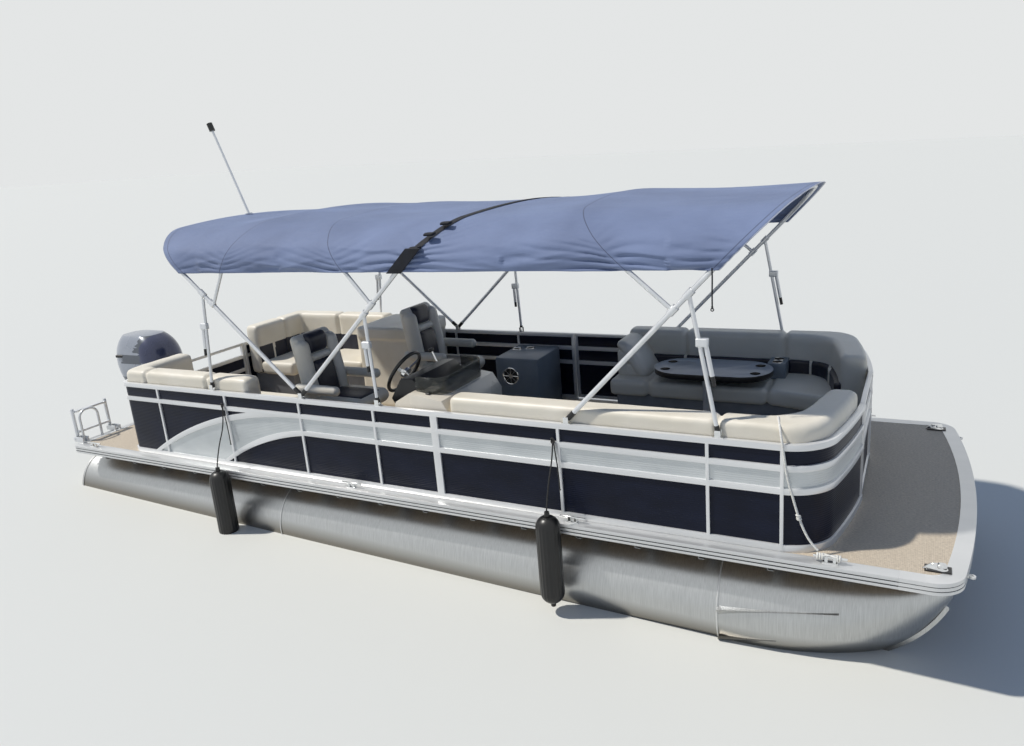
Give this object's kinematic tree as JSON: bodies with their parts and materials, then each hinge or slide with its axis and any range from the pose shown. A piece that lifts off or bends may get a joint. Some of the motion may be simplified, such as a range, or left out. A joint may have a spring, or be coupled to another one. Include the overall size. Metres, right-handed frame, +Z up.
{
  "type": "pontoon boat",
  "caption": "Open deck boat on aluminium tubes, with a railed deck, lounges, a helm, folding fabric tops and a steerable outboard motor.",
  "frame": {"origin": "on the waterline, amidships, on the centreline", "axes": "+X towards the bow, +Y to port, +Z up"},
  "size_m": [8.3541, 2.756, 4.0697],
  "materials": {
    "tube_aluminium": "brushed",
    "mill_aluminium": "mill",
    "trim_aluminium": "satin",
    "fence_aluminium": "satin",
    "silver_panel": "satin ribbed",
    "navy_panel": "gloss ribbed",
    "deck_board": "treated",
    "woven_vinyl": "woven",
    "chrome": "polished",
    "seat_base": "grained",
    "cream_vinyl": "grained",
    "navy_vinyl": "grained",
    "console_plastic": "gloss",
    "grey_plastic": "satin",
    "black_plastic": "satin",
    "table_top": "satin",
    "smoked_screen": "tinted",
    "navy_canvas": "woven",
    "bow_tube": "polished",
    "slate_paint": "gloss",
    "dark_paint": "satin",
    "black_rubber": "ribbed",
    "black_line": "braided",
    "white_line": "braided"
  },
  "bodies": {
    "boat": {"pontoon_starboard": "tube_aluminium", "pontoon_port": "tube_aluminium", "cross_members": "mill_aluminium", "motor_pod": "mill_aluminium", "deck_board": "deck_board", "floor_covering": "woven_vinyl", "deck_edge_trim": "trim_aluminium", "bow_nosing": "trim_aluminium", "deck_cleats": "chrome", "bow_lights": "chrome", "fence_frame_starboard": "fence_aluminium", "fence_frame_port_bow": "fence_aluminium", "fence_frame_port_aft": "fence_aluminium", "navy_panels": "navy_panel", "silver_panels": "silver_panel", "bow_lounge_bases": "seat_base", "bow_lounge_seats": "cream_vinyl", "bow_lounge_backs": "cream_vinyl", "bow_bolsters": "navy_vinyl", "cup_console": "grey_plastic", "bow_table": "table_top", "aft_lounge_bases": "seat_base", "aft_lounge_seats": "cream_vinyl", "aft_lounge_backs": "cream_vinyl", "storage_box": "cream_vinyl", "chair_pedestals": "mill_aluminium", "helm_console": "console_plastic", "helm_dash": "black_plastic", "windscreen": "smoked_screen", "port_console": "grey_plastic", "top_main_bows": "bow_tube", "top_second_bows": "bow_tube", "top_braces": "bow_tube", "top_feet": "chrome", "front_canopy": "navy_canvas", "rear_canopy": "navy_canvas", "light_pole": "bow_tube", "outboard_clamp": "dark_paint", "ladder_bracket": "chrome", "fenders": "black_rubber", "fender_line_aft": "black_line", "fender_line_forward": "black_line", "bow_line": "white_line", "canopy_boot": "navy_canvas"},
    "outboard_tilting": {"outboard_swivel": "dark_paint"},
    "outboard_steering": {"outboard_midsection": "slate_paint", "outboard_cowl": "slate_paint", "outboard_powerhead": "dark_paint"},
    "propeller": {"propeller": "dark_paint"},
    "steering_wheel": {"steering_wheel": "black_plastic"},
    "helm_chair": {"helm_chair_seat": "cream_vinyl", "helm_chair_back": "cream_vinyl"},
    "passenger_chair": {"passenger_chair_seat": "cream_vinyl", "passenger_chair_back": "cream_vinyl"},
    "bow_gate": {"bow_gate": "fence_aluminium"},
    "side_gate": {"side_gate": "fence_aluminium"},
    "stern_gate": {"stern_gate": "fence_aluminium"},
    "boarding_ladder": {"boarding_ladder": "bow_tube"}
  },
  "joints": [
    {"name": "motor_tilt", "type": "hinge", "parent": "boat", "child": "outboard_tilting", "pos_m": [-3.935, 0, 0.47], "axis": [0, 1, 0], "range_deg": [0, 62]},
    {"name": "motor_steer", "type": "hinge", "parent": "outboard_tilting", "child": "outboard_steering", "pos_m": [-4.01, 0, 0.4], "axis": [0, 0, 1], "range_deg": [-30, 30]},
    {"name": "propeller_spin", "type": "hinge", "parent": "outboard_steering", "child": "propeller", "pos_m": [-4.4, 0, -0.385], "axis": [1, 0, 0], "continuous": true},
    {"name": "wheel_turn", "type": "hinge", "parent": "boat", "child": "steering_wheel", "pos_m": [-0.15, -0.77, 1.385], "axis": [-0.848, 0, 0.5299], "range_deg": [-610, 610]},
    {"name": "helm_chair_swivel", "type": "hinge", "parent": "boat", "child": "helm_chair", "pos_m": [-0.88, -0.62, 0.98], "axis": [0, 0, 1], "range_deg": [-180, 180]},
    {"name": "passenger_chair_swivel", "type": "hinge", "parent": "boat", "child": "passenger_chair", "pos_m": [-0.56, 0.5, 0.98], "axis": [0, 0, 1], "range_deg": [-180, 180]},
    {"name": "bow_gate_swing", "type": "hinge", "parent": "boat", "child": "bow_gate", "pos_m": [3.072, -0.355, 0.9], "axis": [0, 0, 1], "range_deg": [0, 90]},
    {"name": "side_gate_swing", "type": "hinge", "parent": "boat", "child": "side_gate", "pos_m": [1.04, 1.166, 0.9], "axis": [0, 0, 1], "range_deg": [0, 90]},
    {"name": "stern_gate_swing", "type": "hinge", "parent": "boat", "child": "stern_gate", "pos_m": [-3.01, 0.27, 0.9], "axis": [0, 0, 1], "range_deg": [0, 90]},
    {"name": "ladder_swing", "type": "hinge", "parent": "boat", "child": "boarding_ladder", "pos_m": [-3.902, -1.01, 0.61], "axis": [0, -1, 0], "range_deg": [0, 175]}
  ],
  "couplings": [
    {"joint": "wheel_turn", "follows": "motor_steer", "ratio": -20}
  ]
}
